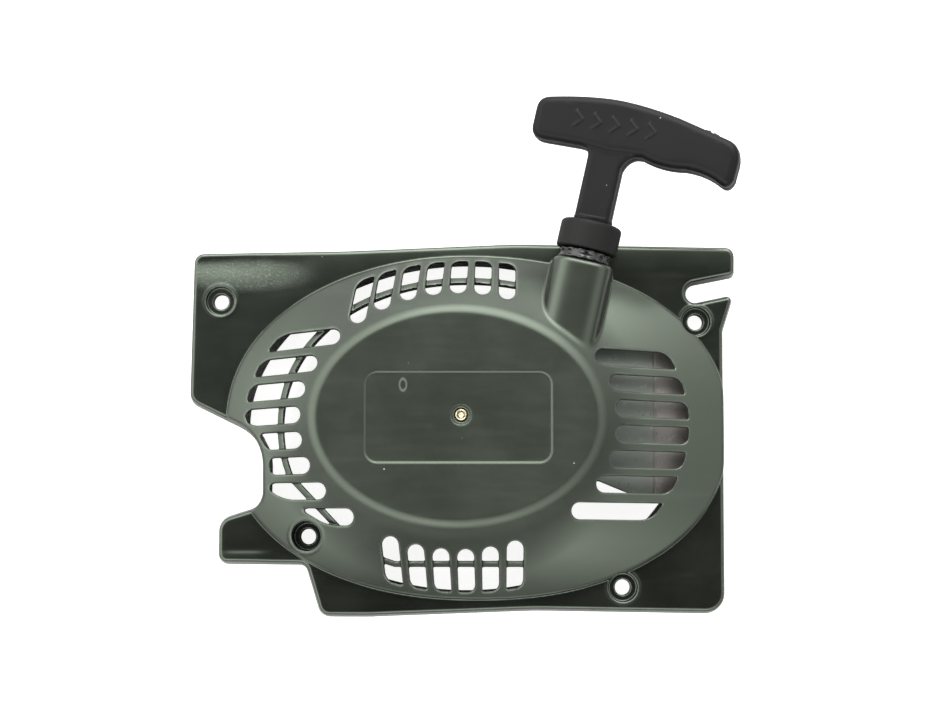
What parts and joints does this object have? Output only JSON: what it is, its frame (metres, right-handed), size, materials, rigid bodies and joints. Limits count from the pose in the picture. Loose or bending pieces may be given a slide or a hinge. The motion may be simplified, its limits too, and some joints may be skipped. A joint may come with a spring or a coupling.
{
  "type": "recoil starter",
  "caption": "Pull-rope recoil starter for a small engine: slotted flange cover over a spring-loaded rope reel, with a T-handle on the rope.",
  "frame": {"origin": "middle of the bounding box's footprint, on the plane of the cover's rear rim", "axes": "+X towards the end with the cable notch, +Y towards the handle's side, +Z out of the cover's front face, along the reel's axis"},
  "size_m": [0.2128, 0.2, 0.0371],
  "materials": {
    "cover_plastic": "dark grey-green moulded nylon, satin, with faint flow marks",
    "bush_plastic": "black, polished by the rope",
    "grip_plastic": "black, fine grain",
    "collar_rubber": "black, dull",
    "black_nylon": "black moulded nylon, satin",
    "baffle_plastic": "grey-brown, dull",
    "starter_rope": "braided polyester, off-white with a dark tracer",
    "zinc_steel": "bright zinc plate",
    "brass": "dull, turned",
    "spring_steel": "blued, lightly oiled"
  },
  "bodies": {
    "cover": {"starter_housing": "cover_plastic", "rope_guide_bush": "bush_plastic", "post_insert": "brass", "pulley_washer": "zinc_steel", "pulley_screw": "zinc_steel", "spring_case": "black_nylon", "spring_case_screw_left": "zinc_steel", "spring_case_screw_right": "zinc_steel", "recoil_spring": "spring_steel", "air_baffle_plate": "baffle_plastic", "baffle_screw_1": "zinc_steel", "baffle_screw_2": "zinc_steel", "baffle_screw_3": "zinc_steel"},
    "reel": {"rope_pulley": "black_nylon", "rope_winding": "starter_rope", "pulley_knot": "starter_rope"},
    "rope_end": {"rope_lead": "starter_rope", "handle_knot": "starter_rope"},
    "handle": {"handle_grip": "grip_plastic", "handle_collar": "collar_rubber", "knot_washer": "zinc_steel"}
  },
  "joints": [
    {"name": "handle_pull", "type": "slide", "parent": "cover", "child": "rope_end", "axis": [0.2204, 0.9754, 0], "range_m": [0, 0.72], "stiffness_N_per_m": 30, "springref_m": -0.35, "deforming": ["rope_lead"]},
    {"name": "handle_swivel", "type": "hinge", "parent": "rope_end", "child": "handle", "pos_m": [0.04962, 0.05028, 0.0215], "axis": [0.2204, 0.9754, 0], "range_deg": [-90, 90]},
    {"name": "reel_spin", "type": "hinge", "parent": "cover", "child": "reel", "pos_m": [-0.00089, -0.02442, 0.0215], "axis": [0, 0, 1], "range_deg": [0, 1325], "deforming": ["recoil_spring"]}
  ],
  "couplings": [
    {"joint": "reel_spin", "follows": "handle_pull", "rad_per_m": 32}
  ]
}
